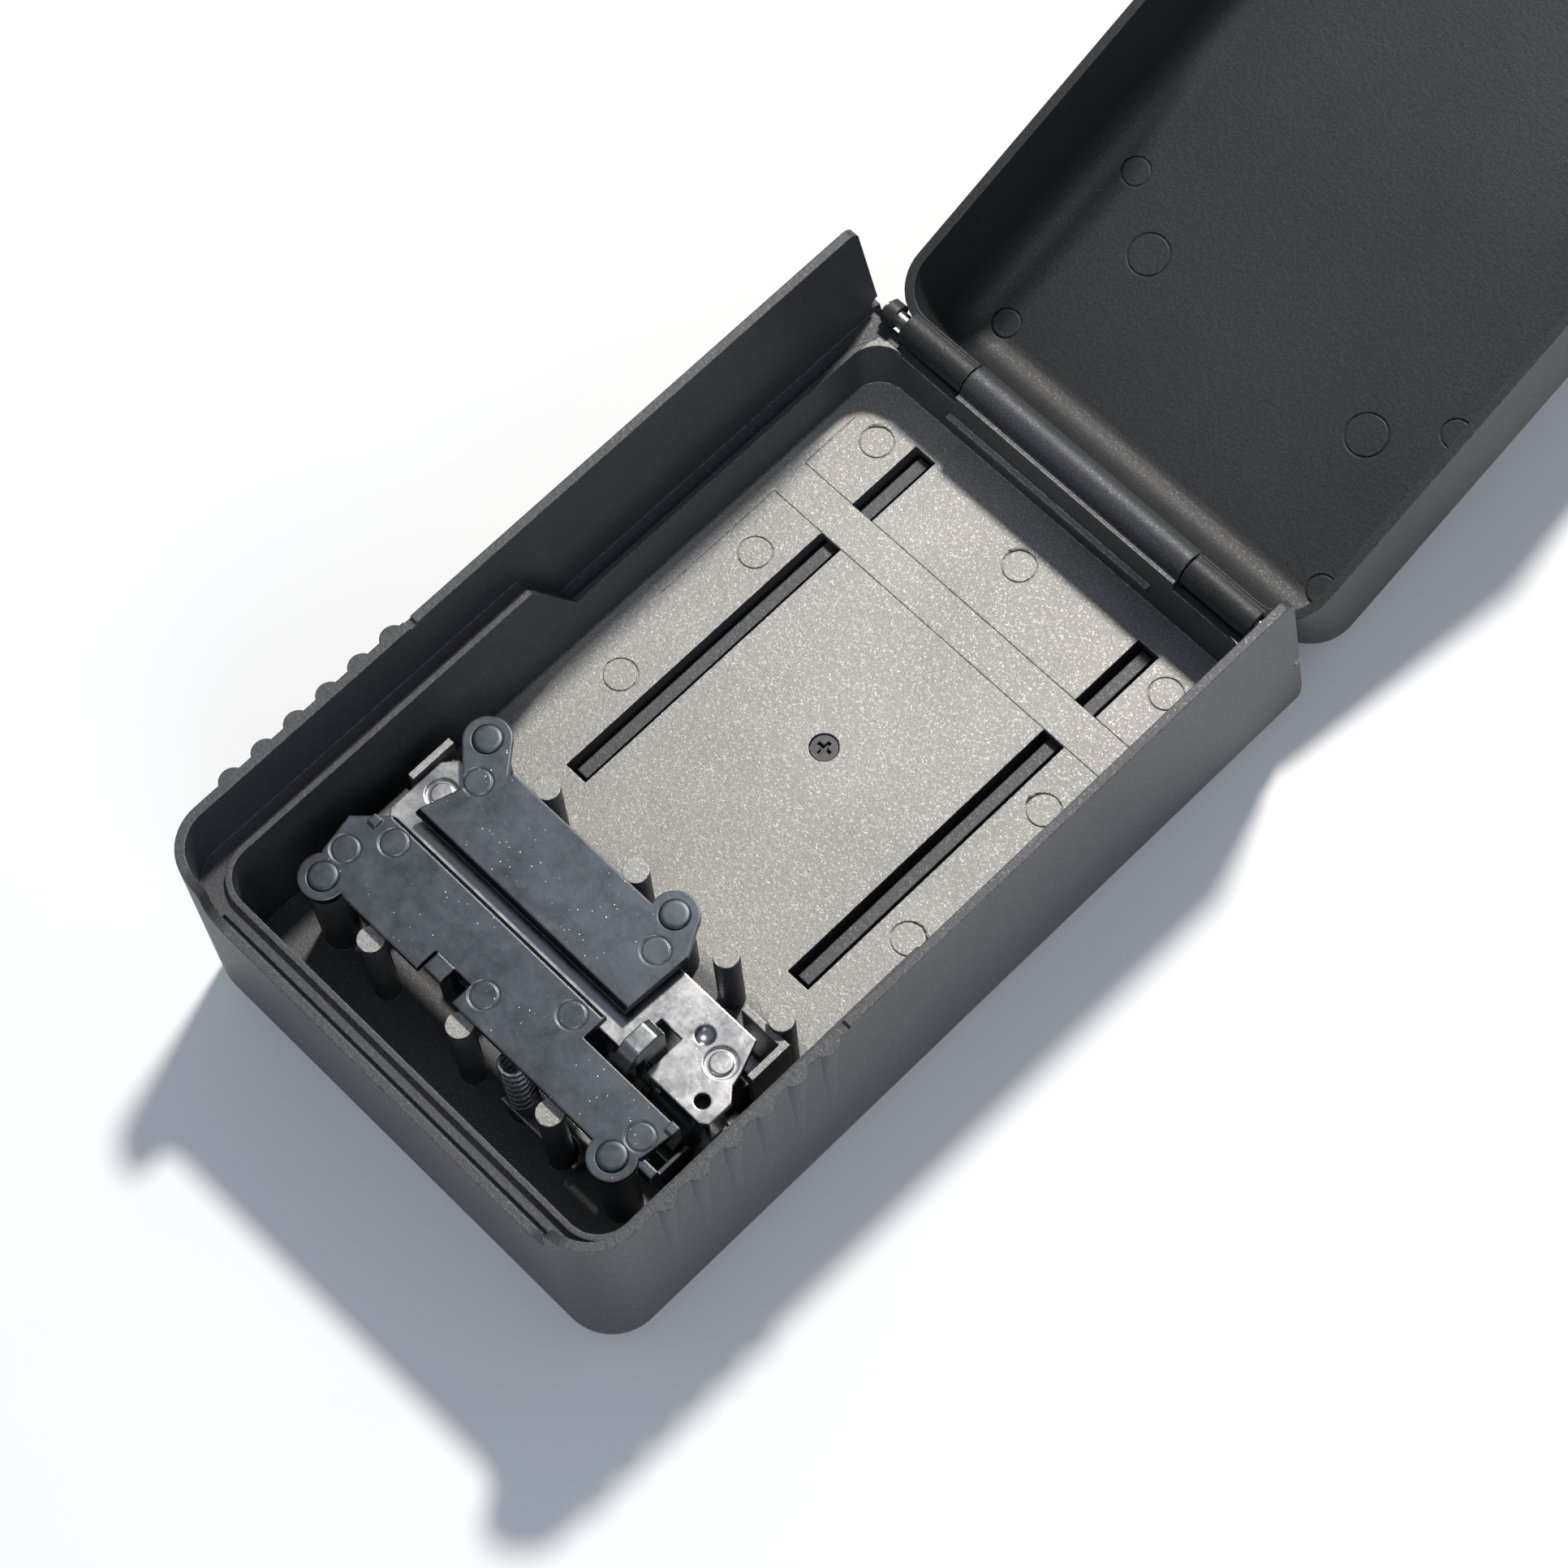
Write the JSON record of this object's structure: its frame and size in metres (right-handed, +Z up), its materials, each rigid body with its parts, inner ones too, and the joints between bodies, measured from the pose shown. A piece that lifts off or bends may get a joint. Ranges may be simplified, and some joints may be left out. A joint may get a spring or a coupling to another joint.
{
  "type": "key box",
  "caption": "Small die-cast key box lying open: front cover with a dial combination lock, sliding shutter and hook latch, hinged to a shallow wall box.",
  "frame": {"origin": "centre of the front cover's outer face, in the plane that the open box lies on", "axes": "+X along the hinge, +Y from the lock towards the hinge and the wall box, +Z up into the cover, square to its outer face"},
  "size_m": [0.0832, 0.2568, 0.056],
  "materials": {
    "cast_cover": "charcoal powder coat with a fine sandy sparkle on die-cast metal",
    "cast_box": "charcoal powder coat with a fine sandy sparkle on die-cast metal",
    "cast_shutter": "charcoal powder coat",
    "dark_zinc": "dark bright-dipped zinc with fine specks and smudges",
    "nickel": "bright nickel plate",
    "plain_zinc": "bare die-cast zinc",
    "steel": "bright steel",
    "black_screw": "black zinc-plated steel",
    "black_plastic": "moulded black plastic"
  },
  "bodies": {
    "cover": {"front_cover": "cast_cover", "hinge_pin": "steel", "hinge_bush_left": "black_plastic", "hinge_bush_right": "black_plastic", "dial_spindle": "steel", "detent_spring": "steel", "lock_front_plate": "dark_zinc", "lock_rear_plate": "dark_zinc", "latch_spring": "steel", "shutter_guide": "steel", "shutter_screw": "black_screw"},
    "box": {"back_box": "cast_box", "latch_strike": "steel", "strike_screws": "steel"},
    "dial_1": {"dial_1": "black_plastic"},
    "code_sleeve_1": {"code_sleeve_1": "plain_zinc"},
    "dial_2": {"dial_2": "black_plastic"},
    "code_sleeve_2": {"code_sleeve_2": "plain_zinc"},
    "dial_3": {"dial_3": "black_plastic"},
    "code_sleeve_3": {"code_sleeve_3": "plain_zinc"},
    "dial_4": {"dial_4": "black_plastic"},
    "code_sleeve_4": {"code_sleeve_4": "plain_zinc"},
    "locking_plate": {"locking_plate": "nickel"},
    "latch_hook": {"latch_hook": "nickel"},
    "release_button": {"release_button": "black_plastic"},
    "reset_lever": {"reset_lever": "dark_zinc"},
    "shutter": {"weather_shutter": "cast_shutter"}
  },
  "joints": [
    {"name": "box_hinge", "type": "hinge", "parent": "cover", "child": "box", "pos_m": [0, 0.0643, 0.0205], "axis": [1, 0, 0], "range_deg": [0, 159]},
    {"name": "dial_1_turn", "type": "hinge", "parent": "cover", "child": "dial_1", "pos_m": [-0.0261, -0.0365, 0.0119], "axis": [1, 0, 0], "continuous": true},
    {"name": "sleeve_1_shift", "type": "slide", "parent": "dial_1", "child": "code_sleeve_1", "axis": [1, 0, 0], "range_m": [0, 0.0016]},
    {"name": "dial_2_turn", "type": "hinge", "parent": "cover", "child": "dial_2", "pos_m": [-0.0087, -0.0365, 0.0119], "axis": [1, 0, 0], "continuous": true},
    {"name": "sleeve_2_shift", "type": "slide", "parent": "dial_2", "child": "code_sleeve_2", "axis": [1, 0, 0], "range_m": [0, 0.0016]},
    {"name": "dial_3_turn", "type": "hinge", "parent": "cover", "child": "dial_3", "pos_m": [0.0087, -0.0365, 0.0119], "axis": [1, 0, 0], "continuous": true},
    {"name": "sleeve_3_shift", "type": "slide", "parent": "dial_3", "child": "code_sleeve_3", "axis": [1, 0, 0], "range_m": [0, 0.0016]},
    {"name": "dial_4_turn", "type": "hinge", "parent": "cover", "child": "dial_4", "pos_m": [0.0261, -0.0365, 0.0119], "axis": [1, 0, 0], "continuous": true},
    {"name": "sleeve_4_shift", "type": "slide", "parent": "dial_4", "child": "code_sleeve_4", "axis": [1, 0, 0], "range_m": [0, 0.0016]},
    {"name": "release_press", "type": "slide", "parent": "cover", "child": "release_button", "axis": [0, 0, 1], "range_m": [0, 0.0025], "stiffness_N_per_m": 300, "springref_m": -0.002},
    {"name": "hook_turn", "type": "hinge", "parent": "cover", "child": "latch_hook", "pos_m": [0.01865, -0.0365, 0.0119], "axis": [1, 0, 0], "range_deg": [-10.4, 0], "deforming": ["latch_spring"]},
    {"name": "plate_drop", "type": "slide", "parent": "cover", "child": "locking_plate", "axis": [0, 0, 1], "range_m": [-0.001, 0]},
    {"name": "reset_shift", "type": "slide", "parent": "cover", "child": "reset_lever", "axis": [1, 0, 0], "range_m": [0, 0.0016]},
    {"name": "shutter_slide", "type": "slide", "parent": "cover", "child": "shutter", "axis": [0, -1, 0], "range_m": [0, 0.038]}
  ],
  "couplings": [
    {"joint": "sleeve_1_shift", "follows": "reset_shift", "ratio": 1},
    {"joint": "sleeve_2_shift", "follows": "reset_shift", "ratio": 1},
    {"joint": "sleeve_3_shift", "follows": "reset_shift", "ratio": 1},
    {"joint": "sleeve_4_shift", "follows": "reset_shift", "ratio": 1},
    {"joint": "hook_turn", "follows": "release_press", "rad_per_m": -71.429},
    {"joint": "plate_drop", "follows": "release_press", "ratio": -0.4}
  ]
}
